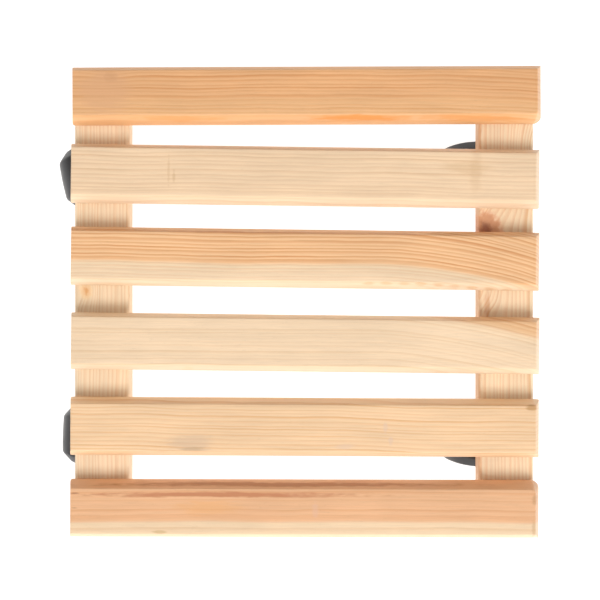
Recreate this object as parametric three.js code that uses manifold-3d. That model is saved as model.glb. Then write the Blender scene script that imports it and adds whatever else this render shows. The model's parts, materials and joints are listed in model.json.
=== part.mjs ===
// Plant pot caddy: a square deck of six softwood slats on two bearers, carried by four hooded
// twin-wheel swivel castors. Millimetres, +Z up, standing on Z = 0. The origin is the centre of
// the footprint box at floor level. Slats run along X, bearers along Y.

import * as THREE from "three";
import { mergeVertices } from "three/addons/utils/BufferGeometryUtils.js";
import Module from "manifold-3d";

const wasm = await Module();
wasm.setup();

// ---------------------------------------------------------------- driving dimensions

const JOINT_GAP = 0.3; // between faces that touch on the real caddy
const RUNNING_GAP = 0.3; // radial, round pins and axles

const BATTEN_THICKNESS = 18;

const SLAT_LENGTH = 354.6;
const SLATS = [
  // centre, width, skew in degrees about Z, and how far the +Y side leans out;
  // the slats were planed by hand and laid by eye
  { x: 0.8, y: 156.4, width: 43.4, skew: 0.2, lean: 4.6 },
  { x: -0.3, y: 95.1, width: 44.5, skew: -0.75, lean: 3.9 },
  { x: -0.4, y: 32.6, width: 44.2, skew: -0.75, lean: 3.7 },
  { x: -0.3, y: -31.5, width: 43, skew: -0.65, lean: 2.7 },
  { x: -0.7, y: -95, width: 43.8, skew: -0.3, lean: 3.5 },
  { x: -0.9, y: -156.8, width: 43.2, skew: -0.15, lean: 4.2 },
];
const SLAT_FRONT_LEAN = 4.6; // how far the -Y side of every slat leans out
const SLAT_ARRIS = 0.8; // crisp edge beside the flat top
const SLAT_SHOULDER_DEPTH = 12; // the sides lean out as far down as this
const SLAT_FOOT_ROUND = 1.6;
const SLAT_LEFT_LEAN = 2.6; // the ends lean out too, the -X end by this
const SLAT_RIGHT_LEAN = 5;
const SLAT_END_ARRIS = 0.8; // both ends' top edge
const END_SLAT_CORNER = 5; // rounding of the first and last slat's inner corner at the +X end
const CORNER_STEPS = 4;

const BEARER_LENGTH = 352;
const BEARER_WIDTH = 42;
const BEARER_X = [-155.7, 153.3];
const BEARER_EDGE_ROUND = 2.8;

const CASTOR_HEIGHT = 55; // floor to the top of the plate
const CASTOR_TRAIL = 18; // swivel axis to axle, along the floor
const WHEEL_RADIUS = 23;
const CASTORS = [
  // x and y of the swivel axis, heading of the trailing side in degrees from +X
  { name: "rear_left", x: -154.5, y: 105.6, heading: 192 },
  { name: "rear_right", x: 150.6, y: 105.6, heading: 185.5 },
  { name: "front_left", x: -153.4, y: -107.6, heading: 178 },
  { name: "front_right", x: 151.2, y: -110, heading: 171.5 },
];

const PLATE_SIDE = 33;
const PLATE_THICKNESS = 2.5;
const PLATE_CORNER = 6;
const PLATE_SCREW_PITCH = 24;
const COLLAR_RADIUS = 11;
const COLLAR_DEPTH = 3.8; // hangs below the plate, the hood turns against it

const KINGPIN_RADIUS = 3.5;
const KINGPIN_HEAD_RADIUS = 5.5;
const KINGPIN_HEAD_HEIGHT = 1.2;
const KINGPIN_FOOT_Z = 29;

const HOOD_REACH = 25.3; // outer radius of the hood around the axle
const HOOD_SKIRT_RADIUS = 17; // lower edge of the hood's side skirts, around the axle
const HOOD_HALF_WIDTH = 23.5;
const HOOD_SIDE_RADIUS = 108; // the sides bulge in plan
const HOOD_CORNER = 8; // rounding of the two tail corners in plan
const HOOD_TAIL_BULGE = 0.8; // the tail edge bows out by this
const HOOD_NOSE = -15.5; // foremost point, ahead of the swivel axis
const HOOD_NOSE_START = -3; // the sides turn in towards the nose from here
const HOOD_NOSE_FOOT_Z = 17.5;
const HOOD_NOSE_BEND = 11;
const HOOD_SHOULDER = 8; // rounding between the top and the sides
const HOOD_WALL = 1.6;
const HOOD_TAIL_ANGLE = 8; // degrees above the axle where the hood ends
const HOOD_SKIRT_FRONT_ANGLE = 205; // the skirts' round edge starts here, in degrees about the axle
const WEB_HALF_WIDTH = 5.8;
const WEB_HUB_RADIUS = 8;
const WEB_SETBACK = 1; // the web stays this far inside the hood's nose

const AXLE_RADIUS = 3;
const AXLE_HALF_LENGTH = 18.5;
const WHEEL_INNER = 6.3; // hub face, from the castor's middle plane
const WHEEL_OUTER = 21.5; // crown of the domed outer face
const WHEEL_SHOULDER = 16.6; // where the dome meets the tread
const WHEEL_HUB_RADIUS = 8;
const WHEEL_RIM_RADIUS = 19.5; // inside of the rim
const WHEEL_RIM_FACE = 6.9; // the rim's inner face, from the castor's middle plane
const WHEEL_RECESS = 12; // floor of the hollow between hub and rim, from the same plane

const WOOD_SCREW = { shank: 1.9, head: 4, headHeight: 2.6, length: 30, tip: 4 };
const PLATE_SCREW = { shank: 1.9, head: 3.8, headHeight: 2.3, length: 16, tip: 3.5 };
const SLAT_SCREW_OFFSET = [0, -12, 0, 0, 12, 0]; // keeps screw heads clear of the castor plates

// ---------------------------------------------------------------- levels worked out from them

const bearerBottom = CASTOR_HEIGHT + JOINT_GAP;
const bearerTop = bearerBottom + BATTEN_THICKNESS;
const slatBottom = bearerTop + JOINT_GAP;
const plateBottom = CASTOR_HEIGHT - PLATE_THICKNESS;
const hoodTop = WHEEL_RADIUS + HOOD_REACH;

// ---------------------------------------------------------------- colours

const PINE = 0xe4bb8b;
const PINE_BEARER = 0xdcb083;
const HOOD_GREY = 0x3f4145;
const WHEEL_GREY = 0x2c2d30;
const ZINC = 0xb9bcbf;
const SCREW_YELLOW = 0xc9b27a;

function material(color, roughness, metalness) {
  return new THREE.MeshStandardMaterial({ color, roughness, metalness });
}

// ---------------------------------------------------------------- solids

function toSolid(geometry) {
  const bare = geometry.index ? geometry.toNonIndexed() : geometry.clone();
  bare.deleteAttribute("normal");
  bare.deleteAttribute("uv");
  const merged = mergeVertices(bare, 1e-4);
  return new wasm.Manifold(
    new wasm.Mesh({
      numProp: 3,
      vertProperties: merged.attributes.position.array,
      triVerts: new Uint32Array(merged.index.array),
    }),
  );
}

function toGeometry(solid) {
  const mesh = solid.getMesh();
  const geometry = new THREE.BufferGeometry();
  geometry.setAttribute("position", new THREE.BufferAttribute(mesh.vertProperties, 3));
  geometry.setIndex(new THREE.BufferAttribute(mesh.triVerts, 1));
  geometry.computeVertexNormals();
  return geometry;
}

// An outline in (a, b) becomes a bar from -length / 2 to length / 2 along the third direction.
function bar(outline, length, directions, segments = 6) {
  const geometry = new THREE.ExtrudeGeometry(outline, {
    depth: length,
    bevelEnabled: false,
    curveSegments: segments,
  });
  geometry.translate(0, 0, -length / 2);
  geometry.applyMatrix4(new THREE.Matrix4().makeBasis(...directions));
  return geometry;
}

const X = new THREE.Vector3(1, 0, 0);
const Y = new THREE.Vector3(0, 1, 0);
const Z = new THREE.Vector3(0, 0, 1);
const ALONG_X = [Y, Z, X]; // outline in Y and Z
const ALONG_Y = [X, Z, Y.clone().negate()]; // outline in X and Z
const ALONG_Z = [X, Y, Z]; // outline in X and Y

// A turned solid about Z from (radius, height) pairs that start and end on the axis.
function turned(profile, segments) {
  const points = profile.map(([radius, height]) => new THREE.Vector2(radius, height));
  return new THREE.LatheGeometry(points, segments).rotateX(Math.PI / 2);
}

function roundedRectangle(width, height, radius) {
  const x = width / 2;
  const y = height / 2;
  const shape = new THREE.Shape();
  shape.moveTo(-x + radius, -y);
  shape.lineTo(x - radius, -y);
  shape.absarc(x - radius, -y + radius, radius, -Math.PI / 2, 0);
  shape.absarc(x - radius, y - radius, radius, 0, Math.PI / 2);
  shape.absarc(-x + radius, y - radius, radius, Math.PI / 2, Math.PI);
  shape.absarc(-x + radius, -y + radius, radius, Math.PI, Math.PI * 1.5);
  return shape;
}

// ---------------------------------------------------------------- screws and their holes

// A countersunk screw pointing up, its head flush with Z = 0.
function countersunkProfile(screw, gap) {
  return [
    [0, 0],
    [screw.head + gap, 0],
    [screw.shank + gap, screw.headHeight],
    [screw.shank + gap, screw.length - screw.tip],
    [0, screw.length + gap],
  ];
}

// A pan head screw pointing up, the underside of its head at Z = 0.
function panProfile(screw, gap) {
  return [
    [0, -screw.headHeight],
    [screw.head * 0.7, -screw.headHeight],
    [screw.head, -screw.headHeight * 0.35],
    [screw.head, 0],
    [screw.shank + gap, 0],
    [screw.shank + gap, screw.length - screw.tip],
    [0, screw.length + gap],
  ];
}

function hole(profile, x, y, z) {
  return toSolid(turned(profile, 8).translate(x, y, z));
}

const screwSpots = SLATS.map((place, i) => place.y + SLAT_SCREW_OFFSET[i]);
const plateCorners = [
  [-1, -1],
  [1, -1],
  [1, 1],
  [-1, 1],
].map(([a, b]) => [(a * PLATE_SCREW_PITCH) / 2, (b * PLATE_SCREW_PITCH) / 2]);

// ---------------------------------------------------------------- deck

function slatSection(width, rearLean) {
  const foot = width / 2;
  const top = BATTEN_THICKNESS;
  const shoulder = top - SLAT_SHOULDER_DEPTH;
  const flank = (lean) => [
    [foot - lean - SLAT_ARRIS, top],
    [foot - lean, top - SLAT_ARRIS * 0.6],
    [foot - lean * 0.38, (top + shoulder) / 2],
    [foot, shoulder],
    [foot, SLAT_FOOT_ROUND],
    [foot - SLAT_FOOT_ROUND, 0],
  ];
  const front = flank(SLAT_FRONT_LEAN).map(([a, b]) => [-a, b]);
  const outline = [...front.reverse(), ...flank(rearLean)].reverse();
  return new THREE.Shape(outline.map(([a, b]) => new THREE.Vector2(a, b)));
}

// Seen from the side: both ends lean out as far down as the shoulder.
function slatSide() {
  const end = SLAT_LENGTH / 2;
  const top = BATTEN_THICKNESS;
  const shape = new THREE.Shape();
  shape.moveTo(-end, 0);
  shape.lineTo(end, 0);
  shape.lineTo(end, top - SLAT_SHOULDER_DEPTH);
  shape.lineTo(end - SLAT_RIGHT_LEAN, top - SLAT_END_ARRIS * 0.6);
  shape.lineTo(end - SLAT_RIGHT_LEAN - SLAT_END_ARRIS, top);
  shape.lineTo(-end + SLAT_LEFT_LEAN + SLAT_END_ARRIS, top);
  shape.lineTo(-end + SLAT_LEFT_LEAN, top - SLAT_END_ARRIS * 0.6);
  shape.lineTo(-end, top - SLAT_SHOULDER_DEPTH);
  return shape;
}

// Seen from above: the first and last slat have one inner corner rounded off.
function endSlatPlan(width, innerSide) {
  const end = SLAT_LENGTH / 2;
  const edge = (width / 2) * innerSide;
  const r = END_SLAT_CORNER;
  const points = [new THREE.Vector2(-end, -edge), new THREE.Vector2(-end, edge)];
  for (let i = 0; i <= CORNER_STEPS; i++) {
    const angle = (Math.PI / 2) * (1 - i / CORNER_STEPS);
    const across = edge - innerSide * r * (1 - Math.sin(angle));
    points.push(new THREE.Vector2(end - r + r * Math.cos(angle), across));
  }
  points.push(new THREE.Vector2(end, -edge));
  return bar(new THREE.Shape(points), BATTEN_THICKNESS * 3, ALONG_Z);
}

function slat(index) {
  const { x, y, width, skew, lean } = SLATS[index];
  const section = toSolid(bar(slatSection(width, lean), SLAT_LENGTH + 10, ALONG_X));
  const side = toSolid(bar(slatSide(), width + 10, ALONG_Y));
  let solid = section.intersect(side);
  if (index === 0 || index === SLATS.length - 1) {
    solid = solid.intersect(toSolid(endSlatPlan(width, index === 0 ? -1 : 1)));
  }
  // Pilot holes for the screws that come up through the bearers.
  const turn = THREE.MathUtils.degToRad(skew);
  for (const bearerX of BEARER_X) {
    const spot = new THREE.Vector3(bearerX - x, SLAT_SCREW_OFFSET[index], 0);
    spot.applyAxisAngle(Z, -turn);
    const profile = countersunkProfile(WOOD_SCREW, RUNNING_GAP);
    solid = solid.subtract(hole(profile, spot.x, spot.y, bearerBottom - slatBottom));
  }
  const mesh = new THREE.Mesh(toGeometry(solid), material(PINE, 0.75, 0));
  mesh.name = "slat_" + (index + 1);
  mesh.position.set(x, y, slatBottom);
  mesh.rotation.z = turn;
  return mesh;
}

function bearer(index) {
  const outline = roundedRectangle(BEARER_WIDTH, BATTEN_THICKNESS, BEARER_EDGE_ROUND);
  let solid = toSolid(bar(outline, BEARER_LENGTH, ALONG_Y, 3));
  const below = -BATTEN_THICKNESS / 2;
  for (const y of screwSpots) {
    solid = solid.subtract(hole(countersunkProfile(WOOD_SCREW, RUNNING_GAP), 0, y, below));
  }
  for (const castor of CASTORS.filter((c) => Math.sign(c.x) === Math.sign(BEARER_X[index]))) {
    for (const [a, b] of plateCorners) {
      const profile = panProfile(PLATE_SCREW, RUNNING_GAP);
      const depth = plateBottom - bearerBottom;
      const spotX = castor.x - BEARER_X[index] + a;
      solid = solid.subtract(hole(profile, spotX, castor.y + b, below + depth));
    }
  }
  const mesh = new THREE.Mesh(toGeometry(solid), material(PINE_BEARER, 0.78, 0));
  mesh.name = index === 0 ? "bearer_left" : "bearer_right";
  mesh.position.set(BEARER_X[index], 0, bearerBottom + BATTEN_THICKNESS / 2);
  return mesh;
}

function slatScrew(slatIndex, bearerIndex) {
  const geometry = turned(countersunkProfile(WOOD_SCREW, 0), 8);
  const mesh = new THREE.Mesh(geometry, material(SCREW_YELLOW, 0.35, 1));
  mesh.name = "slat_screw_" + (slatIndex + 1) + (bearerIndex === 0 ? "_left" : "_right");
  mesh.position.set(BEARER_X[bearerIndex], screwSpots[slatIndex], bearerBottom);
  return mesh;
}

// ---------------------------------------------------------------- castor

function plate() {
  const flat = roundedRectangle(PLATE_SIDE, PLATE_SIDE, PLATE_CORNER);
  const top = PLATE_THICKNESS;
  const collar = [
    [0, -COLLAR_DEPTH],
    [COLLAR_RADIUS - 1.5, -COLLAR_DEPTH],
    [COLLAR_RADIUS, -COLLAR_DEPTH + 1.2],
    [COLLAR_RADIUS, top / 2],
    [0, top / 2],
  ];
  const bore = [
    [0, -COLLAR_DEPTH - 1],
    [KINGPIN_RADIUS + RUNNING_GAP, -COLLAR_DEPTH - 1],
    [KINGPIN_RADIUS + RUNNING_GAP, top - KINGPIN_HEAD_HEIGHT - RUNNING_GAP],
    [KINGPIN_HEAD_RADIUS + RUNNING_GAP, top - KINGPIN_HEAD_HEIGHT - RUNNING_GAP],
    [KINGPIN_HEAD_RADIUS + RUNNING_GAP, top + 1],
    [0, top + 1],
  ];
  const clearance = PLATE_SCREW.shank + RUNNING_GAP;
  const screwHole = [
    [0, -1],
    [clearance, -1],
    [clearance, top + 1],
    [0, top + 1],
  ];
  let solid = toSolid(bar(flat, top, ALONG_Z, 3).translate(0, 0, top / 2));
  solid = solid.add(toSolid(turned(collar, 20)));
  solid = solid.subtract(toSolid(turned(bore, 12)));
  for (const [x, y] of plateCorners) {
    solid = solid.subtract(hole(screwHole, x, y, 0));
  }
  const mesh = new THREE.Mesh(toGeometry(solid), material(ZINC, 0.4, 1));
  mesh.position.z = plateBottom;
  return mesh;
}

function plateScrew(x, y) {
  const geometry = turned(panProfile(PLATE_SCREW, 0), 8);
  const mesh = new THREE.Mesh(geometry, material(ZINC, 0.35, 1));
  mesh.position.set(x, y, plateBottom - 0.1);
  return mesh;
}

function kingpin() {
  const shaftTop = CASTOR_HEIGHT - KINGPIN_HEAD_HEIGHT;
  const profile = [
    [0, KINGPIN_FOOT_Z],
    [KINGPIN_RADIUS - 1, KINGPIN_FOOT_Z],
    [KINGPIN_RADIUS, KINGPIN_FOOT_Z + 1],
    [KINGPIN_RADIUS, shaftTop],
    [KINGPIN_HEAD_RADIUS, shaftTop],
    [KINGPIN_HEAD_RADIUS, CASTOR_HEIGHT],
    [0, CASTOR_HEIGHT],
  ];
  return new THREE.Mesh(turned(profile, 12), material(ZINC, 0.3, 1));
}

// The hood seen from above, drawn in by a wall thickness: barrel sides, rounded nose and tail.
function hoodPlan(inset) {
  const tail = CASTOR_TRAIL + HOOD_REACH - inset;
  const nose = HOOD_NOSE + inset;
  const tailStart = tail - HOOD_CORNER;
  const sideRadius = HOOD_SIDE_RADIUS - inset;
  const sideCentre = HOOD_HALF_WIDTH - HOOD_SIDE_RADIUS;
  const sideAt = (u) => sideCentre + Math.sqrt(sideRadius ** 2 - (u - CASTOR_TRAIL) ** 2);
  const cheek = sideAt(HOOD_NOSE_START);
  const tailHalf = sideAt(tailStart) - HOOD_CORNER;
  const tailEdge = tail - HOOD_TAIL_BULGE / 2;
  const cornerAt = tailEdge - HOOD_CORNER;
  const steps = 6;
  const shape = new THREE.Shape();
  shape.moveTo(HOOD_NOSE_START, -cheek);
  for (let i = 1; i <= steps; i++) {
    const u = THREE.MathUtils.lerp(HOOD_NOSE_START, cornerAt, i / steps);
    shape.lineTo(u, -sideAt(u));
  }
  shape.absarc(cornerAt, -tailHalf, HOOD_CORNER, -Math.PI / 2, 0);
  shape.quadraticCurveTo(tailEdge + HOOD_TAIL_BULGE, 0, tailEdge, tailHalf);
  shape.absarc(cornerAt, tailHalf, HOOD_CORNER, 0, Math.PI / 2);
  for (let i = 1; i <= steps; i++) {
    const u = THREE.MathUtils.lerp(cornerAt, HOOD_NOSE_START, i / steps);
    shape.lineTo(u, sideAt(u));
  }
  shape.quadraticCurveTo(nose + 1, cheek - 2, nose, 0);
  shape.quadraticCurveTo(nose + 1, 2 - cheek, HOOD_NOSE_START, -cheek);
  return shape;
}

// The hood seen from the side: a band round the wheels that runs on into the nose.
function hoodSide() {
  const tail = THREE.MathUtils.degToRad(HOOD_TAIL_ANGLE);
  const front = THREE.MathUtils.degToRad(HOOD_SKIRT_FRONT_ANGLE);
  const bend = HOOD_NOSE_BEND;
  const shape = new THREE.Shape();
  shape.absarc(CASTOR_TRAIL, WHEEL_RADIUS, HOOD_REACH, tail, Math.PI / 2);
  shape.lineTo(HOOD_NOSE + bend, hoodTop);
  shape.absarc(HOOD_NOSE + bend, hoodTop - bend, bend, Math.PI / 2, Math.PI);
  shape.lineTo(HOOD_NOSE, HOOD_NOSE_FOOT_Z);
  shape.absarc(CASTOR_TRAIL, WHEEL_RADIUS, HOOD_SKIRT_RADIUS, front, tail, true);
  return shape;
}

// The hood seen from behind: rounded shoulders between the top and the sides.
function hoodFront(inset) {
  const r = HOOD_SHOULDER - inset;
  const top = hoodTop - inset;
  const side = HOOD_HALF_WIDTH - inset;
  const shape = new THREE.Shape();
  shape.moveTo(side, 0);
  shape.lineTo(side, top - r);
  shape.absarc(side - r, top - r, r, 0, Math.PI / 2);
  shape.lineTo(-side + r, top);
  shape.absarc(-side + r, top - r, r, Math.PI / 2, Math.PI);
  shape.lineTo(-side, 0);
  return shape;
}

// The space that the wheels turn in, open downwards.
function pocketSide() {
  const reach = HOOD_REACH - HOOD_WALL;
  const nose = HOOD_NOSE + HOOD_WALL;
  const bend = HOOD_NOSE_BEND - HOOD_WALL;
  const floor = -10;
  const shape = new THREE.Shape();
  shape.moveTo(CASTOR_TRAIL + reach, floor);
  shape.absarc(CASTOR_TRAIL, WHEEL_RADIUS, reach, 0, Math.PI / 2);
  shape.lineTo(nose + bend, WHEEL_RADIUS + reach);
  shape.absarc(nose + bend, WHEEL_RADIUS + reach - bend, bend, Math.PI / 2, Math.PI);
  shape.lineTo(nose, floor);
  return shape;
}

// The plate between the two wheels, which holds the kingpin and the axle.
function webSide() {
  const tail = THREE.MathUtils.degToRad(HOOD_TAIL_ANGLE + 10);
  const reach = HOOD_REACH - HOOD_WALL / 2;
  const nose = HOOD_NOSE + WEB_SETBACK;
  const top = WHEEL_RADIUS + reach;
  const slope = HOOD_NOSE_BEND - HOOD_WALL;
  const shape = new THREE.Shape();
  shape.absarc(CASTOR_TRAIL, WHEEL_RADIUS, reach, tail, Math.PI / 2);
  shape.lineTo(nose + slope, top);
  shape.lineTo(nose, top - slope);
  shape.lineTo(nose, HOOD_NOSE_FOOT_Z + 6);
  shape.absarc(CASTOR_TRAIL, WHEEL_RADIUS, WEB_HUB_RADIUS, Math.PI * 1.3, Math.PI * 1.9);
  return shape;
}

function hood() {
  const wide = HOOD_HALF_WIDTH * 4;
  const tall = CASTOR_HEIGHT * 3;
  const outer = toSolid(bar(hoodPlan(0), tall, ALONG_Z, 5))
    .intersect(toSolid(bar(hoodSide(), wide, ALONG_Y, 9)))
    .intersect(toSolid(bar(hoodFront(0), wide * 2, ALONG_X, 4)));
  const pocket = toSolid(bar(hoodPlan(HOOD_WALL), tall, ALONG_Z, 5))
    .intersect(toSolid(bar(pocketSide(), wide, ALONG_Y, 9)))
    .intersect(toSolid(bar(hoodFront(HOOD_WALL), wide * 2, ALONG_X, 4)));
  const web = toSolid(bar(webSide(), WEB_HALF_WIDTH * 2, ALONG_Y, 8));
  const kingpinBore = [
    [0, KINGPIN_FOOT_Z - 1],
    [KINGPIN_RADIUS + RUNNING_GAP, KINGPIN_FOOT_Z - 1],
    [KINGPIN_RADIUS + RUNNING_GAP, hoodTop + 1],
    [0, hoodTop + 1],
  ];
  const axleBore = [
    [0, -wide],
    [AXLE_RADIUS + RUNNING_GAP, -wide],
    [AXLE_RADIUS + RUNNING_GAP, wide],
    [0, wide],
  ];
  const axleHole = turned(axleBore, 12).rotateX(Math.PI / 2);
  axleHole.translate(CASTOR_TRAIL, 0, WHEEL_RADIUS);
  const solid = outer
    .subtract(pocket)
    .add(web)
    .subtract(toSolid(turned(kingpinBore, 12)))
    .subtract(toSolid(axleHole));
  return new THREE.Mesh(toGeometry(solid), material(HOOD_GREY, 0.5, 0));
}

function axle() {
  const end = AXLE_HALF_LENGTH;
  const profile = [
    [0, -end],
    [AXLE_RADIUS - 0.5, -end],
    [AXLE_RADIUS, -end + 0.5],
    [AXLE_RADIUS, end - 0.5],
    [AXLE_RADIUS - 0.5, end],
    [0, end],
  ];
  const mesh = new THREE.Mesh(turned(profile, 12), material(ZINC, 0.3, 1));
  mesh.rotation.x = Math.PI / 2;
  mesh.position.set(CASTOR_TRAIL, 0, WHEEL_RADIUS);
  return mesh;
}

// One wheel, turned about Z with its outer face up: blind bore, hollow inner face, domed outside.
function wheel(side) {
  const bore = AXLE_RADIUS + RUNNING_GAP;
  const dome = (radius) => {
    const drop = (WHEEL_OUTER - WHEEL_SHOULDER) * (radius / WHEEL_RADIUS) ** 2;
    return WHEEL_OUTER - drop;
  };
  const profile = [
    [0, AXLE_HALF_LENGTH + 0.5],
    [bore, AXLE_HALF_LENGTH + 0.5],
    [bore, WHEEL_INNER],
    [WHEEL_HUB_RADIUS, WHEEL_INNER],
    [WHEEL_HUB_RADIUS + 1, WHEEL_RECESS],
    [WHEEL_RIM_RADIUS - 1, WHEEL_RECESS],
    [WHEEL_RIM_RADIUS, WHEEL_RIM_FACE],
    [WHEEL_RADIUS, WHEEL_RIM_FACE],
    [WHEEL_RADIUS, WHEEL_SHOULDER - 1],
    [WHEEL_RADIUS - 1.2, dome(WHEEL_RADIUS - 1.2)],
    [15, dome(15)],
    [8, dome(8)],
    [0, WHEEL_OUTER],
  ];
  const mesh = new THREE.Mesh(turned(profile, 24), material(WHEEL_GREY, 0.6, 0));
  mesh.rotation.x = (side * -Math.PI) / 2;
  mesh.position.set(CASTOR_TRAIL, 0, WHEEL_RADIUS);
  return mesh;
}

// The wheel on the left is the one on the left hand when looking along the trail.
function castor({ name, x, y, heading }) {
  const fixed = new THREE.Group();
  const plateMesh = plate();
  plateMesh.name = "castor_plate_" + name;
  const pin = kingpin();
  pin.name = "kingpin_" + name;
  fixed.add(plateMesh, pin);
  plateCorners.forEach(([a, b], i) => {
    const screw = plateScrew(a, b);
    screw.name = "plate_screw_" + name + "_" + (i + 1);
    fixed.add(screw);
  });

  const swivel = new THREE.Group();
  const hoodMesh = hood();
  hoodMesh.name = "castor_hood_" + name;
  const axleMesh = axle();
  axleMesh.name = "axle_" + name;
  const leftWheel = wheel(1);
  leftWheel.name = "wheel_" + name + "_a";
  const rightWheel = wheel(-1);
  rightWheel.name = "wheel_" + name + "_b";
  swivel.add(hoodMesh, axleMesh, leftWheel, rightWheel);
  swivel.rotation.z = THREE.MathUtils.degToRad(heading);

  const group = new THREE.Group();
  group.add(fixed, swivel);
  group.position.set(x, y, 0);
  return group;
}

// ---------------------------------------------------------------- assembly

const caddy = new THREE.Group();
SLATS.forEach((_, i) => caddy.add(slat(i)));
BEARER_X.forEach((_, i) => caddy.add(bearer(i)));
SLATS.forEach((_, s) => BEARER_X.forEach((__, b) => caddy.add(slatScrew(s, b))));
CASTORS.forEach((place) => caddy.add(castor(place)));

// The castors stick out on one side, so the footprint's centre isn't the deck's centre.
caddy.updateMatrixWorld(true);
const footprint = new THREE.Box3().setFromObject(caddy, true);
const centre = footprint.getCenter(new THREE.Vector3());
caddy.position.set(-centre.x, -centre.y, 0);

export default caddy;
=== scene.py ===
"""Plant pot caddy: the looks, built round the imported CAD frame.

Six pine slats on two bearers, four hooded twin-wheel castors. Lengths in this file are
millimetres and are turned into metres where a mesh or an object is made.
"""

import json
import math

import bmesh
import bpy
from mathutils import Matrix, Vector, noise

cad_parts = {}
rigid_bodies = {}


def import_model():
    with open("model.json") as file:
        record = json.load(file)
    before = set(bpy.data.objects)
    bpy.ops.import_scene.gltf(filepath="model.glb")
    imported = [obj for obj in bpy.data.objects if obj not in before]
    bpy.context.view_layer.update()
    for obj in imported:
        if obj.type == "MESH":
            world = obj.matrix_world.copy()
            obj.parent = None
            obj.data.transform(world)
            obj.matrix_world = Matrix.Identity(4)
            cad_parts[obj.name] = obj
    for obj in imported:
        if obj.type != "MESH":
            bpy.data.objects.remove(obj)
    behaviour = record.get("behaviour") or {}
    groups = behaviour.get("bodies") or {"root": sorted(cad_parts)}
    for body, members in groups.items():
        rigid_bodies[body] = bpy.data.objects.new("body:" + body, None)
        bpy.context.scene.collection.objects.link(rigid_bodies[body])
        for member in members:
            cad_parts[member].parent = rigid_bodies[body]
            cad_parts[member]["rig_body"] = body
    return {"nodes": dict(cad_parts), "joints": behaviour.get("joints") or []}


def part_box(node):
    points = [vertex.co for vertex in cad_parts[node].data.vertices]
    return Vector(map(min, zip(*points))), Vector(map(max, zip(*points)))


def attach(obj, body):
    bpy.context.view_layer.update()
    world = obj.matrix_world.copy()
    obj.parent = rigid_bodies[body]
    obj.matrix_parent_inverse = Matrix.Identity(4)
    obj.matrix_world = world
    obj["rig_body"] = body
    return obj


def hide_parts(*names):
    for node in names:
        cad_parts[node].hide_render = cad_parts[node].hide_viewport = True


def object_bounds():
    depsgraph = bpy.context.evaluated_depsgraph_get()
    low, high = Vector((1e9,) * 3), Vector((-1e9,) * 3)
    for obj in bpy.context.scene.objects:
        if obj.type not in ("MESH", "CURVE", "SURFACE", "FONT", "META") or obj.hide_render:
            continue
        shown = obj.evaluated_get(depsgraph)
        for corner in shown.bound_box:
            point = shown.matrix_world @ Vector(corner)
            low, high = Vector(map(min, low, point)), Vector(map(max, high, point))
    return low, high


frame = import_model()
cad_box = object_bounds()

MM = 0.001

# ---- driving dimensions

BOARD_THICKNESS = 18.0
SLAT_SHOULDER = 12.0  # the sides lean out as far down as this
SLAT_HOLLOW = 0.26  # share of the lean that comes late, which makes the sides a touch hollow
SLAT_ARRIS = 0.8
SLAT_FOOT_ROUND = 1.6
SLAT_END_ARRIS = 0.8
SLAT_END_RUN = 30.0  # the lean grows over this much of the slat
SLAT_CORNER = 5.0  # inner corner of the first and last slat at the +X end, seen from above
CORNER_SIDES = {"slat_1": -1, "slat_6": 1}
BEARER_EDGE = 2.8
END_EASE = 0.3  # sanded edge round the end faces
NEAR_END = 12.0  # a board's mesh has rings close together within this of its ends
STATION_STEP = 5.0

CASTOR_TRAIL = 18.0
WHEEL_RADIUS = 23.0
CASTOR_HEIGHT = 55.0

PLATE_SIDE = 33.0
PLATE_THICKNESS = 2.5
PLATE_CORNER = 6.0
PLATE_SCREW_PITCH = 24.0
COLLAR_RADIUS = 11.0
COLLAR_DEPTH = 3.8
PLATE_BOTTOM = CASTOR_HEIGHT - PLATE_THICKNESS

FIT_GAP = 0.3  # between a pin and its bore

KINGPIN_RADIUS = 3.5
KINGPIN_FOOT = 29.0
KINGPIN_GROOVE = 33.0

HOOD_REACH = 25.2
HOOD_SKIRT = 17.0
HOOD_HALF_WIDTH = 23.5
HOOD_SIDE_RADIUS = 108.0
HOOD_SHOULDER = 8.0
HOOD_CHAMFER = 7.2  # the shoulder is a flat at 45 degrees between two small radii
HOOD_NOSE = -15.4
HOOD_NOSE_FOOT = 17.5
HOOD_NOSE_BEND = 11.0
HOOD_WALL = 1.6
HOOD_TAIL_ANGLE = 8.0
HOOD_SKIRT_FRONT_ANGLE = 205.0
WEB_HALF_WIDTH = 5.6

AXLE_RADIUS = 3.0
AXLE_HALF_LENGTH = 18.5

CASTORS = ("rear_left", "rear_right", "front_left", "front_right")

# ---- meshes and objects


def new_object(name, data):
    piece = bpy.data.objects.new(name, data)
    bpy.context.scene.collection.objects.link(piece)
    return piece


def mesh_from(name, points, faces, smooth_angle=35.0):
    """A closed mesh from points in millimetres, shaded smooth except across sharp edges."""
    mesh = bpy.data.meshes.new(name)
    mesh.from_pydata([Vector(p) * MM for p in points], [], faces)
    mesh.validate()
    work = bmesh.new()
    work.from_mesh(mesh)
    bmesh.ops.remove_doubles(work, verts=work.verts, dist=1e-7)
    bmesh.ops.recalc_face_normals(work, faces=work.faces)
    work.to_mesh(mesh)
    work.free()
    shade(mesh, smooth_angle)
    return mesh


def shade(mesh, smooth_angle=35.0):
    mesh.polygons.foreach_set("use_smooth", [True] * len(mesh.polygons))
    mesh.set_sharp_from_angle(angle=math.radians(smooth_angle))
    mesh.update()


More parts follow.
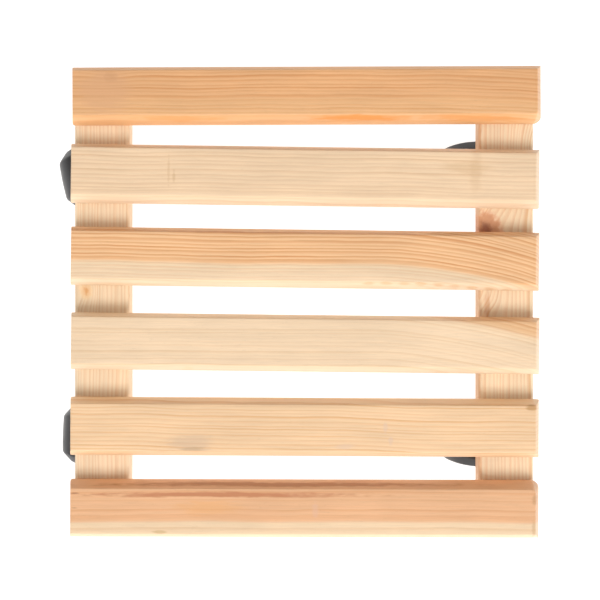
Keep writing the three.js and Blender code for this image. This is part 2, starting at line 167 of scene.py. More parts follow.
def loft(name, rings, smooth_angle=35.0, caps=None):
    """Joins rings of equal length with quads and caps the two ends, by default with one face."""
    count = len(rings[0])
    points = [p for ring in rings for p in ring]
    faces = []
    for i in range(len(rings) - 1):
        a, b = i * count, (i + 1) * count
        for k in range(count):
            n = (k + 1) % count
            faces.append((a + k, a + n, b + n, b + k))
    for row in caps or [tuple(range(count))]:
        faces.append(row[::-1])
        faces.append(tuple((len(rings) - 1) * count + k for k in row))
    return mesh_from(name, points, faces, smooth_angle)


def lathe(name, profile, segments=64, smooth_angle=35.0):
    """Turns (radius, height) pairs about Z. The profile starts and ends on the axis."""
    points = [(0.0, 0.0, profile[0][1])]
    for radius, height in profile[1:-1]:
        for k in range(segments):
            angle = 2 * math.pi * k / segments
            points.append((radius * math.cos(angle), radius * math.sin(angle), height))
    points.append((0.0, 0.0, profile[-1][1]))
    last = len(points) - 1
    rows = len(profile) - 2
    faces = []
    for k in range(segments):
        n = (k + 1) % segments
        faces.append((0, 1 + n, 1 + k))
        for i in range(rows - 1):
            a = 1 + i * segments
            b = a + segments
            faces.append((a + k, a + n, b + n, b + k))
        a = 1 + (rows - 1) * segments
        faces.append((a + k, a + n, last))
    return mesh_from(name, points, faces, smooth_angle)


def arc(centre_a, centre_b, radius, start, end, steps):
    """Points on an arc in a plane, from start to end degrees, both included."""
    for i in range(steps + 1):
        angle = math.radians(start + (end - start) * i / steps)
        yield centre_a + radius * math.cos(angle), centre_b + radius * math.sin(angle)


def prism(name, outline, low, high):
    """An outline in X and Y between two heights."""
    rings = [[(x, y, z) for x, y in outline] for z in (low, high)]
    return loft(name, rings)


def rounded_rectangle(width, height, radius, steps=6):
    x = width / 2 - radius
    y = height / 2 - radius
    outline = []
    for a, b, start in ((x, y, 0), (-x, y, 90), (-x, -y, 180), (x, -y, 270)):
        outline += arc(a, b, radius, start, start + 90, steps)
    return outline


def settle(mesh, kind, values, tool=None):
    """Runs a modifier on a mesh and returns the result as a new mesh."""
    used = [new_object("scratch", mesh)]
    modifier = used[0].modifiers.new(kind.lower(), kind)
    for key, value in values.items():
        setattr(modifier, key, value)
    if tool:
        used.append(new_object("scratch_tool", tool))
        modifier.object = used[1]
    bpy.context.view_layer.update()
    graph = bpy.context.evaluated_depsgraph_get()
    result = bpy.data.meshes.new_from_object(used[0].evaluated_get(graph))
    for piece in used:
        bpy.data.objects.remove(piece)
    result.name = mesh.name
    return result


def carve(mesh, tool, operation="DIFFERENCE"):
    made = settle(mesh, "BOOLEAN", {"operation": operation, "solver": "EXACT"}, tool)
    shade(made)
    return made


def eased(mesh, width, angle):
    """Rounds the edges of a mesh that are sharper than an angle by a small bevel."""
    values = {
        "width": width * MM,
        "segments": 2,
        "limit_method": "ANGLE",
        "angle_limit": math.radians(angle),
        "use_clamp_overlap": True,
        "harden_normals": False,
    }
    made = settle(mesh, "BEVEL", values)
    shade(made, 50.0)
    return made


def joined(name, parts):
    """One mesh from (mesh, matrix) parts that don't touch."""
    work = bmesh.new()
    for part, matrix in parts:
        copy = part.copy()
        copy.transform(matrix)
        work.from_mesh(copy)
        bpy.data.meshes.remove(copy)
    mesh = bpy.data.meshes.new(name)
    work.to_mesh(mesh)
    work.free()
    return mesh


def at(x, y, z=0.0, turn=0.0):
    """A place in the row frame in millimetres, turned about Z by an angle in radians."""
    return Matrix.Translation(Vector((x, y, z)) * MM) @ Matrix.Rotation(turn, 4, "Z")


# ---- shader fields


class Field:
    """A value worked out by shader nodes. Arithmetic on it adds the nodes."""

    def __init__(self, tree, socket):
        self.tree = tree
        self.socket = socket

    def math(self, operation, *others):
        node = self.tree.nodes.new("ShaderNodeMath")
        node.operation = operation
        for slot, value in zip(node.inputs, (self, *others)):
            feed(self.tree, slot, value)
        return Field(self.tree, node.outputs[0])

    def __add__(self, other):
        return self.math("ADD", other)

    def __sub__(self, other):
        return self.math("SUBTRACT", other)

    def __mul__(self, other):
        return self.math("MULTIPLY", other)

    def __truediv__(self, other):
        return self.math("DIVIDE", other)

    def sqrt(self):
        return self.math("SQRT")

    def fraction(self):
        return self.math("FRACT")

    def whole(self):
        return self.math("FLOOR")

    def over(self, floor):
        """How far the value is above a floor, never below 0."""
        return (self - floor).math("MAXIMUM", 0.0)

    def sine(self):
        return self.math("SINE")

    def smooth(self, low, high, out_low=0.0, out_high=1.0):
        """A soft step from out_low to out_high as the value goes from low to high."""
        node = self.tree.nodes.new("ShaderNodeMapRange")
        node.interpolation_type = "SMOOTHSTEP"
        for key, value in (
            ("Value", self),
            ("From Min", low),
            ("From Max", high),
            ("To Min", out_low),
            ("To Max", out_high),
        ):
            feed(self.tree, node.inputs[key], value)
        return Field(self.tree, node.outputs[0])


def feed(tree, slot, value):
    if isinstance(value, Field):
        tree.links.new(value.socket, slot)
    elif isinstance(value, tuple) and len(value) == 3 and slot.type == "RGBA":
        slot.default_value = (*value, 1.0)
    else:
        slot.default_value = value


class Shader:
    """A principled material with helpers that build fields in millimetres."""

    def __init__(self, name, here=None):
        self.material = bpy.data.materials.new(name)
        self.material.use_nodes = True
        self.tree = self.material.node_tree
        self.surface = self.tree.nodes["Principled BSDF"]
        place = self.tree.nodes.new("ShaderNodeTexCoord")
        scaled = self.tree.nodes.new("ShaderNodeVectorMath")
        scaled.operation = "SCALE"
        scaled.inputs["Scale"].default_value = 1 / MM
        self.tree.links.new(place.outputs["Object"], scaled.inputs[0])
        split = self.tree.nodes.new("ShaderNodeSeparateXYZ")
        self.tree.links.new(scaled.outputs[0], split.inputs[0])
        self.x, self.y, self.z = (Field(self.tree, out) for out in split.outputs)
        if here is not None:
            # lengths are then along, across and up from the place given
            spot, turn = here.translation / MM, here.to_euler().z
            x, y = self.x - spot.x, self.y - spot.y
            self.x = x * math.cos(turn) + y * math.sin(turn)
            self.y = y * math.cos(turn) - x * math.sin(turn)
            self.z = self.z - spot.z

    def point(self, x, y, z):
        node = self.tree.nodes.new("ShaderNodeCombineXYZ")
        for slot, value in zip(node.inputs, (x, y, z)):
            feed(self.tree, slot, value)
        return Field(self.tree, node.outputs[0])

    def noise(self, x, y, z, detail=2.0, roughness=0.5):
        """Noise about 0.5 whose grain is one unit of the coordinates given."""
        node = self.tree.nodes.new("ShaderNodeTexNoise")
        self.tree.links.new(self.point(x, y, z).socket, node.inputs["Vector"])
        node.inputs["Scale"].default_value = 1.0
        node.inputs["Detail"].default_value = detail
        node.inputs["Roughness"].default_value = roughness
        return Field(self.tree, node.outputs["Fac"])

    def mix(self, first, second, share):
        node = self.tree.nodes.new("ShaderNodeMix")
        node.data_type = "RGBA"
        # the node has inputs for each data type, told apart by their identifiers
        slots = {slot.identifier: slot for slot in node.inputs}
        for key, value in (("Factor_Float", share), ("A_Color", first), ("B_Color", second)):
            feed(self.tree, slots[key], value)
        out = next(s for s in node.outputs if s.identifier == "Result_Color")
        return Field(self.tree, out)

    def tint(self, colour, amount):
        """A colour made lighter or darker by a field about 1."""
        node = self.tree.nodes.new("ShaderNodeVectorMath")
        node.operation = "SCALE"
        feed(self.tree, node.inputs[0], colour)
        feed(self.tree, node.inputs["Scale"], amount)
        return Field(self.tree, node.outputs[0])

    def set(self, **values):
        for key, value in values.items():
            feed(self.tree, self.surface.inputs[key.replace("_", " ")], value)

    def bump(self, height, depth):
        """Raises the surface by up to depth millimetres where height is 1."""
        node = self.tree.nodes.new("ShaderNodeBump")
        node.inputs["Strength"].default_value = 1.0
        node.inputs["Distance"].default_value = depth * MM
        self.tree.links.new(height.socket, node.inputs["Height"])
        self.tree.links.new(node.outputs[0], self.surface.inputs["Normal"])


def tone(red, green, blue, light=1.0):
    """A colour as it looks, 0 to 255, turned into what the surface reflects in that light."""

    def linear(value):
        value /= 255
        return value / 12.92 if value <= 0.04045 else ((value + 0.055) / 1.055) ** 2.4

    return tuple(linear(v) / light for v in (red, green, blue))


# ---- pine

KEY_GAIN = 1.04  # how bright a white matt face looks on the deck; colours below allow for it

PLAIN_TIMBER = {
    "early": (243, 214, 178),
    "late": (226, 186, 140),
    "heart_early": (236, 184, 132),
    "heart_late": (208, 140, 86),
    "heart_from": 100.0,  # heartwood beyond this far across; 100 is none
    "heart_soft": 1.0,
    "spacing": 3.2,
    "pith": (70.0, 11.0),
    "phase": 0.0,
    "slope": 0.0,  # how fast the grain runs across the board
    "rise": 0.0,  # how fast it runs up through it
    "bend": 0.0,  # the grain bends off across past bend_from
    "bend_from": 60.0,
    "wander": 3.0,
    "ring_low": 0.35,  # how dark the faintest rings are; the darkest are 1
    "seed": 0.0,
    # painted sheen: how far the -Y side of a slat is mixed towards white
    "side_pale": 0.16,
    # painted light: how far the +X end of a slat is mixed towards white
    "end_pale": 0.2,
    "knots": (),
    "marks": (),  # each: along, across, half length, half width, colour, strength
}
# the near-white that the painted sheen and the painted end light mix into the wood
PAINTED_LIGHT_WHITE = (255, 242, 224)
KNOT_BODY = (226, 168, 128)


def knot(along, across, size, body, core, **changes):
    """A knot and how it pushes the grain aside; its own look fades in with its strength."""
    plain = {"push": 0.8, "stretch": 3.0, "strength": 1.0, "oval": 1.25}
    return {**plain, "at": (along, across), "size": size, "body": body, "core": core, **changes}


def lit(colour):
    """What the wood reflects, so that it looks this colour on the lit deck."""
    return tone(*colour, KEY_GAIN)


def pine(name, found, **changes):
    """Softwood worked out in the solid: rings round a pith line that drifts along the board."""
    wood = {**PLAIN_TIMBER, **changes}
    sh = Shader(name, found["matrix"])
    u, v, w = sh.x, sh.y, sh.z  # along the board, across it and up through it
    seed = wood["seed"]

    # where the grain has drifted to at this point along the board
    drift = (sh.noise(u * 0.009, v * 0.006, w * 0.006 + seed, 1.0) - 0.5) * (wood["wander"] * 2)
    past = u.over(wood["bend_from"])
    lift = drift + u * wood["slope"] + past * past * wood["bend"]
    q = v + lift

    # how far from the pith this point is, pushed away round the knots
    a = q - wood["pith"][0]
    b = w - wood["pith"][1] + u * wood["rise"]
    r = (a * a + b * b).sqrt()
    ripple = (sh.noise(u * 0.03, v * 0.1, w * 0.1 + seed + 7, 2.0) - 0.5) * 1.6
    r = r + ripple
    for flaw in wood["knots"]:
        (ku, kv), size = flaw["at"], flaw["size"]
        along = (u - ku) / (size * flaw["stretch"])
        across = (v - kv) / (size * 1.5)
        fade = ((along * along + across * across) * -1.0).math("EXPONENT")
        r = r + fade * (size * flaw["push"])
    turn = r / wood["spacing"] + (sh.noise(r * 0.13, seed, 3.0, 1.0) - 0.5) * 2.2 + wood["phase"]
    part = turn.fraction()
    # a ring darkens slowly and ends at a sharp edge
    ring = part.smooth(0.22, 0.84) * part.smooth(0.9, 1.0, 1.0, 0.0)
    each = sh.noise(turn.whole() * 0.71 + seed, 4.0, 9.0, 0.0)
    along_ring = sh.noise(u * 0.012, turn.whole() * 0.5, seed + 2, 1.0)
    vigour = each.smooth(0.35, 0.65, wood["ring_low"], 1.0)
    ring = ring * vigour * along_ring.smooth(0.25, 0.7, 0.7, 1.1)

    sap = sh.mix(lit(wood["early"]), lit(wood["late"]), ring)
    heart = sh.mix(lit(wood["heart_early"]), lit(wood["heart_late"]), ring)
    edge = q + ripple * 0.7 - wood["heart_from"]
    colour = sh.mix(sap, heart, edge.smooth(-wood["heart_soft"], wood["heart_soft"]))

    # broad tone, fine fibres and short resin lines
    broad = sh.noise(u * 0.014, v * 0.06, w * 0.06 + seed + 11, 2.0)
    fibre = sh.noise(u * 0.05, v * 1.3, w * 1.3 + seed, 3.0, 0.65)
    fleck = sh.noise(u * 0.22, v * 2.6, w * 2.6 + seed + 5, 1.0)
    light = broad.smooth(0.25, 0.75, 0.945, 1.045)
    light = light * fibre.smooth(0.25, 0.75, 0.95, 1.035)
    light = light * fleck.smooth(0.66, 0.78, 1.0, 0.9)
    colour = sh.tint(colour, light)

    # painted light: a painted sheen on the side towards -Y and painted light on the +X end of a slat, both
    # mixed paler towards white
    crown = found["width"] / 2 - found["front_lean"]
    pale = v.smooth(-crown - 1.0, -crown + 0.2, wood["side_pale"], 0.0)
    end = found["length"] / 2 - found["right_lean"]
    # painted light on the +X end face: sawn is its share of the near-white
    sawn = u.smooth(end - 0.8, end + 0.4, 0.0, wood["end_pale"])
    pale = pale.math("MAXIMUM", sawn)
    colour = sh.mix(colour, lit(PAINTED_LIGHT_WHITE), pale)

    for mark in wood["marks"]:
        mu, mv, length, width, paint, strength = mark
        along = (u - mu) / length
        across = (v - mv + lift * 0.5) / width
        rag = sh.noise(u * 0.09, v * 0.5, w * 0.4 + seed + mu, 3.0)
        spread = (along * along + across * across).sqrt() + (rag - 0.5) * 1.1
        share = spread.smooth(0.35, 1.05, strength, 0.0)
        colour = sh.mix(colour, lit(paint), share)

    for flaw in wood["knots"]:
        (ku, kv), size = flaw["at"], flaw["size"]
        along = (u - ku) / flaw["oval"]
        across = v - kv
        wobble = (sh.noise(u * 0.25, v * 0.25, w * 0.1 + seed, 2.0) - 0.5) * (size * 0.7)
        spread = (along * along + across * across).sqrt() + wobble
        rings = ((spread * (5.2 / size)).sine() * 0.5 + 0.5) * 0.3
        inside = spread.smooth(size * 0.62, size * 1.02, flaw["strength"], 0.0)
        body = sh.mix(lit(flaw["body"]), lit(flaw["core"]), rings)
        core = spread.smooth(size * 0.1, size * 0.45, 1.0, 0.0)
        body = sh.mix(body, lit(flaw["core"]), core)
        colour = sh.mix(colour, body, inside)

    rough = fibre.smooth(0.3, 0.7, 0.5, 0.64) - ring * 0.06
    height = ring * 0.35 + fibre * 0.5 + fleck.smooth(0.66, 0.78, 0.0, -0.35)
    sh.set(Base_Color=colour, Roughness=rough, Specular_IOR_Level=0.32)
    sh.bump(height, 0.07)
    return sh.material


# the grain of each slat, first the one at the rear
SLAT_TIMBERS = (
    {
        "early": (243, 192, 142),
        "late": (234, 174, 118),
        "heart_early": (242, 188, 138),
        "heart_late": (226, 161, 106),
        "heart_from": -4.0,
        "heart_soft": 3.0,
        "spacing": 3.0,
        "pith": (-64.0, 9.0),
        "phase": 0.3,
        "wander": 2.2,
        "rise": 0.012,
        "bend": 0.0003,
        "seed": 1.7,
        "ring_low": 0.45,
        "side_pale": 0.0,
        "knots": (
            knot(-146.0, 12.0, 5.0, (214, 160, 118), (196, 140, 100), push=0.35, strength=0.25),
        ),
        "marks": (
            (-152.0, 1.0, 26.0, 22.0, (228, 176, 134), 0.55),
            (40.0, -18.6, 48.0, 2.2, (236, 152, 70), 0.8),
            (-95.0, -18.6, 40.0, 2.0, (240, 168, 100), 0.6),
            (124.0, -18.4, 46.0, 2.4, (238, 160, 86), 0.55),
        ),
    },
    {
        "early": (249, 219, 185),
        "late": (237, 201, 162),
        "spacing": 3.3,
        "pith": (-92.0, 12.0),
        "phase": 0.1,
        "wander": 2.6,
        "rise": -0.008,
        "seed": 12.4,
        "ring_low": 0.5,
        "marks": (
            (-102.0, 2.0, 1.3, 14.0, (222, 184, 140), 0.4),
            (-98.0, -3.0, 1.5, 6.0, (216, 178, 132), 0.45),
            (120.0, 7.0, 22.0, 6.0, (230, 194, 152), 0.5),
            (127.0, 4.0, 6.0, 20.0, (222, 184, 142), 0.35),
        ),
    },
    {
        "early": (249, 221, 188),
        "late": (242, 206, 166),
        "heart_early": (250, 204, 157),
        "heart_late": (226, 160, 106),
        "heart_from": -4.5,
        "heart_soft": 1.4,
        "spacing": 2.9,
        "pith": (-46.0, 15.0),
        "phase": 0.5,
        "bend": 0.00135,
        "bend_from": 55.0,
        "wander": 1.6,
        "seed": 23.1,
        "ring_low": 0.6,
        "marks": tuple(
            (u, -18.6 + 0.02 * (u - 40), 5.5, 1.6, (224, 178, 126), 0.5) for u in range(48, 170, 13)
        ),
    },
    {
        "early": (250, 222, 189),
        "late": (242, 209, 170),
        "heart_early": (240, 196, 150),
        "heart_late": (220, 162, 112),
        "heart_from": 24.0,
        "heart_soft": 3.0,
        "spacing": 3.4,
        "pith": (-48.0, 14.0),
        "phase": 0.2,
        "bend": 0.001,
        "bend_from": 40.0,
        "wander": 2.4,
        "seed": 34.8,
        "knots": (
            knot(-88.0, -21.0, 4.0, (238, 206, 150), (232, 196, 140), push=-0.5, stretch=5.0, strength=0.2),
        ),
    },
    {
        "early": (249, 213, 173),
        "late": (237, 188, 138),
        "spacing": 2.7,
        "pith": (-84.0, 10.0),
        "phase": 0.75,
        "wander": 3.4,
        "slope": 0.012,
        "seed": 45.3,
        "ring_low": 0.3,
        "marks": (
            (-85.0, -11.0, 20.0, 8.0, (214, 186, 160), 0.45),
            (-84.0, -15.5, 14.0, 1.8, (186, 156, 124), 0.5),
            (60.0, 2.0, 2.2, 6.0, (232, 202, 184), 0.45),
            (64.0, -8.0, 2.2, 4.0, (230, 200, 184), 0.4),
            (30.0, -13.0, 9.0, 2.5, (234, 204, 184), 0.4),
            (169.0, 18.0, 5.0, 3.0, (196, 146, 92), 0.7),
            (0.0, -20.5, 400.0, 3.4, (236, 194, 150), 0.5),
        ),
        "side_pale": 0.0,
    },
    {
        "side_pale": 0.0,
        "early": (245, 215, 180),
        "late": (238, 203, 163),
        "heart_early": (240, 189, 146),
        "heart_late": (231, 173, 127),
        "heart_from": -7.4,
        "heart_soft": 1.2,
        "spacing": 3.1,
        "pith": (-44.0, -18.0),
        "phase": 0.4,
        "wander": 2.0,
        "seed": 56.9,
        "ring_low": 0.25,
        "marks": (
            (-60.0, 12.7, 130.0, 2.6, (198, 130, 90), 0.9),
            (-20.0, 19.4, 160.0, 1.5, (176, 106, 64), 0.6),
            (-72.0, 3.0, 30.0, 7.0, (240, 178, 118), 0.5),
            (-40.0, -2.0, 34.0, 6.0, (238, 184, 140), 0.4),
            (8.0, 1.0, 3.0, 8.0, (232, 188, 164), 0.4),
            (172.0, 10.0, 3.0, 5.0, (190, 140, 98), 0.5),
            (171.0, -12.0, 2.0, 8.0, (212, 172, 128), 0.5),
            (-171.5, 14.0, 4.0, 0.7, (150, 92, 60), 0.6),
            (-171.5, 3.0, 3.5, 0.6, (160, 100, 66), 0.5),
            (-108.0, -15.0, 6.0, 2.0, (214, 180, 130), 0.7),
        ),
    },
)


# the grain of the two bearers, with painted shade along the right one's inner edge; their own X runs to the
# rear, their Y to the left
BEARER_TIMBERS = (
    {
        "early": (252, 230, 200),
        "late": (240, 206, 166),
        "spacing": 2.9,
        "pith": (-40.0, 26.0),
        "phase": 0.2,
        "wander": 4.0,
        "seed": 71.2,
        "ring_low": 0.4,
        "knots": (
            knot(8.0, 12.0, 5.5, (250, 220, 176), (226, 160, 88), stretch=2.0, strength=0.75, oval=1.6),
        ),
    },
    {
        "early": (252, 230, 199),
        "late": (239, 200, 158),
        "spacing": 3.0,
        "pith": (36.0, 24.0),
        "phase": 0.6,
        "wander": 4.5,
        "seed": 83.6,
        "ring_low": 0.4,
        "knots": (
            knot(-12.0, 18.0, 9.0, KNOT_BODY, (190, 120, 84), push=1.1, stretch=1.6, strength=0.0),
            knot(118.0, -24.0, 12.0, KNOT_BODY, (190, 120, 84), push=0.9, stretch=1.8, strength=0.0),
            knot(54.0, 16.0, 15.0, KNOT_BODY, (158, 90, 62), push=1.0, stretch=1.6, strength=0.9, oval=1.2),
        ),
        "marks": (
            (-6.0, 14.0, 16.0, 3.0, (214, 150, 98), 0.5),
            # painted shade: the inner edge and inner side of the right bearer, darker along its whole
            # length
            (0.0, 23.0, 400.0, 5.0, (214, 164, 124), 0.75),
        ),
    },
)


# ---- boards


def slat_section(width, rear_lean, front_lean):
    """The slat's outline in Y and Z, from the middle of its foot round and back."""
    foot, top = width / 2, BOARD_THICKNESS
    shoulder = top - SLAT_SHOULDER
    steps = 6

    def flank(lean):
        crown = foot - lean
        line = [(y * (foot - SLAT_FOOT_ROUND) / 6, 0.0) for y in range(1, 6)]
        line += arc(foot - SLAT_FOOT_ROUND, SLAT_FOOT_ROUND, SLAT_FOOT_ROUND, -90, 0, 4)
        for i in range(steps):
            t = i / (steps - 1)
            back = lean * ((1 - SLAT_HOLLOW) * t + SLAT_HOLLOW * t * t)
            line.append((foot - back, shoulder + (SLAT_SHOULDER - SLAT_ARRIS) * t))
        line += list(arc(crown - SLAT_ARRIS, top - SLAT_ARRIS, SLAT_ARRIS, 12, 90, 3))[1:]
        return line + [(y * (crown - SLAT_ARRIS) / 7, top) for y in range(6, 0, -1)]

    front = [(-y, z) for y, z in reversed(flank(front_lean))]
    return [(0.0, 0.0), *flank(rear_lean), (0.0, top), *front]


def bearer_section(width):
    outline = rounded_rectangle(width, BOARD_THICKNESS, BEARER_EDGE, 5)
    return [(y, z + BOARD_THICKNESS / 2) for y, z in outline]


def stations(half_length):
    """Places along a board: close together near the ends."""
    span = half_length - NEAR_END
    near = [0.0, 0.12, 0.3, 0.5, 0.8, 1.2, 1.7, 2.3, 2.9, 3.6, 4.5, 5.5, 6.8, 8.5, 11.0]
    steps = int(span * 2 / STATION_STEP)
    inner = [-span + span * 2 * i / steps for i in range(steps + 1)]
    left = [-half_length + d for d in near]
    return [*left, *inner, *(-x for x in reversed(left))]


def level_rows(section):
    """Splits an end face into level rows; the outline mirrors about its first point."""
    count = len(section)
    low, high = section[0][1], section[count // 2][1]
    first = next(k for k in range(count) if section[k][1] > low)
    last = next(k for k in range(count) if section[k][1] >= high)
    rows = [tuple(range(-first, first + 1))]
    rows += [(k, k + 1, -k - 1, -k) for k in range(first, last - 1)]
    rows.append(tuple(range(last - 1, count - last + 2)))
    return [tuple(k % count for k in row) for row in rows]


def set_back(z):
    """Share of its lean that a slat's end is set back by at a height."""
    rise = min(1.0, max(0.0, (z - BOARD_THICKNESS + SLAT_SHOULDER) / SLAT_SHOULDER))
    return (1 - SLAT_HOLLOW) * rise + SLAT_HOLLOW * rise * rise


def board(name, found, section, seed, slat=False, corner_side=0):
    """A planed batten along X with sawn ends. A slat's ends lean out like its long sides."""
    half, foot = found["length"] / 2, found["width"] / 2
    top = BOARD_THICKNESS
    rings = []
    for x in stations(half):
        depth = half - abs(x)
        ease = max(0.0, END_EASE - depth)
        shrink = END_EASE - math.sqrt(max(0.0, END_EASE**2 - ease**2))
        cut = max(0.0, SLAT_END_ARRIS - depth) * 0.6 if slat else 0.0
        near = max(0.0, 1 - depth / SLAT_END_RUN) ** 2
        lean = near * (found["right_lean"] if x > 0 else -found["left_lean"])
        pulled = 0.0
        if x > 0 and depth < SLAT_CORNER:
            pulled = SLAT_CORNER - math.sqrt(SLAT_CORNER**2 - (SLAT_CORNER - depth) ** 2)
        ring = []
        for y, z in section:
            side = max(0.0, y * corner_side / foot)
            y -= corner_side * pulled * side * side
            y -= math.copysign(shrink, y) if abs(y) > shrink else y
            z = z - shrink if z > top / 2 else z + shrink
            z = min(z, top - cut - shrink)
            # the plane and the saw leave the faces a touch uneven
            wave = noise.noise(Vector((x * 0.02, y * 0.09, z * 0.2 + seed)))
            torn = noise.noise(Vector((x * 0.9, y * 0.8, z * 0.8 + seed + 40)))
            bite = 0.05 * (wave - 0.9) + min(0.0, torn + 0.1) * 0.3 * max(0.0, 1 - depth / 1.5)
            scale = 1 + bite / foot
            level = top / 2 + (z - top / 2) * (1 + bite / 12)
            ring.append((x - lean * set_back(level), y * scale, level))
        rings.append(ring)
    # a ring just inside each end face keeps the face flat
    last = len(rings) + 1
    for index, x, lean in ((0, -half, -found["left_lean"]), (last, half, found["right_lean"])):
        outer = rings[min(index, len(rings) - 1)]
        inner = [(y * 0.94, top / 2 + (z - top / 2) * 0.88) for _, y, z in outer]
        rings.insert(index, [(x - lean * set_back(z), y, z) for y, z in inner])
    return loft(name, rings, 48.0, level_rows(section) if slat else None)


def board_place(node):
    """A CAD batten's place, length, width and the lean of its sides, from its own points."""
    points = [v.co / MM for v in frame["nodes"][node].data.vertices]
    low = min(p.z for p in points)
    high = max(p.z for p in points)
    top = [p for p in points if p.z > high - 0.05]
    # the flat top is a rectangle, so two of its corners give the direction of its long side
    corners = [max(top, key=lambda p, s=side: p.x + p.y * s) for side in (-1, 1)]
    along = (corners[1] - corners[0]).xy.normalized()
    low_x, low_y = (min(p[i] for p in top) for i in range(2))
    high_x, high_y = (max(p[i] for p in top) for i in range(2))
    if high_x - low_x > high_y - low_y:
        along = Vector((along.y, -along.x))
    across = Vector((-along.y, along.x))
    u = [p.xy.dot(along) for p in points]
    v = [p.xy.dot(across) for p in points]
    crown = [p.xy.dot(across) for p in top]
    ends = [p.xy.dot(along) for p in top]
    centre = along * (min(u) + max(u)) / 2 + across * (min(v) + max(v)) / 2
    return {
        "matrix": at(centre.x, centre.y, low, math.atan2(along.y, along.x)),
        "length": max(u) - min(u),
        "width": max(v) - min(v),
        "rear_lean": max(v) - max(crown) - SLAT_ARRIS,
        "front_lean": min(crown) - min(v) - SLAT_ARRIS,
        "left_lean": max(0.0, min(ends) - min(u) - SLAT_END_ARRIS),
        "right_lean": max(0.0, max(u) - max(ends) - SLAT_END_ARRIS),
    }


# ---- screws

SHANK = 1.9
CORE = 1.35
THREAD_PITCH = 1.5
HOLE = 2.2
SCREW_TURN = 2.4  # radians from one screw to the next
WOOD_SCREW = {"head": 4.0, "head_height": 2.6, "length": 30.0, "tip": 4.0}
PLATE_SCREW = {"head": 3.8, "head_height": 2.3, "length": 16.0, "tip": 3.5}


def circle(radius, z, count):
    turns = (2 * math.pi * k / count for k in range(count))
    return [(radius * math.cos(a), radius * math.sin(a), z) for a in turns]


def cross_recess(x, y, reach):
    """Share of the full depth of a cross-shaped driver recess at a point of a screw head."""
    arm = reach * 0.2
    depth = 0.0
    for along, across in ((abs(x), abs(y)), (abs(y), abs(x))):
        wall = max(0.0, 1 - max(0.0, across - arm) / 0.2)
        depth = max(depth, min(1.0, 1.9 * wall * max(0.0, 1 - along / reach)))
    return depth


def screw_mesh(name, screw, pan):
    """A threaded screw pointing up, its head at the bottom with the cross recess facing down."""
    around = 40
    head, height, length = screw["head"], screw["head_height"], screw["length"]
    face = -height if pan else 0.0
    flat = head * (0.7 if pan else 0.94)
    rings = []
    for i in range(1, 15):
        ring = circle(flat * i / 14, face, around)
        rings.append([(x, y, z + cross_recess(x, y, head * 0.62) * height * 0.6) for x, y, z in ring])
    if pan:
        turns = [math.radians(degrees) for degrees in (20, 40, 60, 75, 85)]
        side = [(flat + (head - flat) * math.sin(a), -height * math.cos(a) ** 0.8) for a in turns]
        side += [(head, -0.12), (head - 0.12, 0.0), (SHANK, 0.0)]
        start, plain = 0.0, 1.0
    else:
        side = [(head * 0.985, 0.06), (head, 0.2), (head * 0.98, 0.42), (SHANK, height)]
        start, plain = height, 9.0
    rings += [circle(radius, z, around) for radius, z in side]
    z = start
    while z < length - 0.15:
        z += THREAD_PITCH / 6
        tip = min(1.0, max(0.05, (length - z) / screw["tip"]))
        runs_in = min(1.0, max(0.0, (z - start - plain) / 1.5))
        ring = []
        for k, (x, y, level) in enumerate(circle(1.0, min(z, length), around)):
            turn = (z / THREAD_PITCH - k / around) % 1.0
            crest = max(0.0, 1 - abs(turn - 0.5) / 0.3)
            thread = CORE + (SHANK - CORE) * crest
            radius = (SHANK + (thread - SHANK) * runs_in) * tip**0.8
            ring.append((x * radius, y * radius, level))
        rings.append(ring)
    return loft(name, rings, 40.0)


def pilot(screw):
    """The countersunk hole that a screw through a bearer sits in."""
    gap = HOLE - SHANK
    profile = [(0, -1), (screw["head"] + gap, -1), (screw["head"] + gap, 0)]
    profile += [(HOLE, screw["head_height"]), (HOLE, screw["length"] - screw["tip"])]
    return lathe("pilot", [*profile, (0, screw["length"] + gap)], 32)


def blind_hole(screw):
    """The plain hole for a plate screw, from under the bearer up."""
    return lathe("blind", [(0, -1), (HOLE, -1), (HOLE, screw["length"] - 3), (0, screw["length"])], 24)


# ---- castor parts


def plate_mesh():
    """The pressed mounting plate: rounded corners, four screw holes and a raised collar."""
    outline = rounded_rectangle(PLATE_SIDE, PLATE_SIDE, PLATE_CORNER)
    flat = prism("plate", outline, 0, PLATE_THICKNESS)
    edge = COLLAR_RADIUS
    depth = COLLAR_DEPTH
    profile = [(0, -depth), (edge - 1.6, -depth), (edge - 0.7, -depth + 0.3), (edge - 0.1, -depth + 1.2)]
    profile += [(edge, -0.9), (edge + 0.4, -0.3), (edge + 1.1, 0.3), (0, 0.6)]
    bore = KINGPIN_RADIUS + FIT_GAP
    seat = [(0, -9), (bore, -9), (bore, 1), (bore + 2, 1), (bore + 2, 9), (0, 9)]
    hole = lathe("hole", [(0, -9), (HOLE, -9), (HOLE, 9), (0, 9)], 24)
    pitch = PLATE_SCREW_PITCH / 2
    tools = [(lathe("seat", seat, 48), Matrix.Identity(4))]
    tools += [(hole, at(x, y)) for x in (-pitch, pitch) for y in (-pitch, pitch)]
    solid = carve(flat, lathe("collar", profile), "UNION")
    return eased(carve(solid, joined("tools", tools)), 0.3, 40)


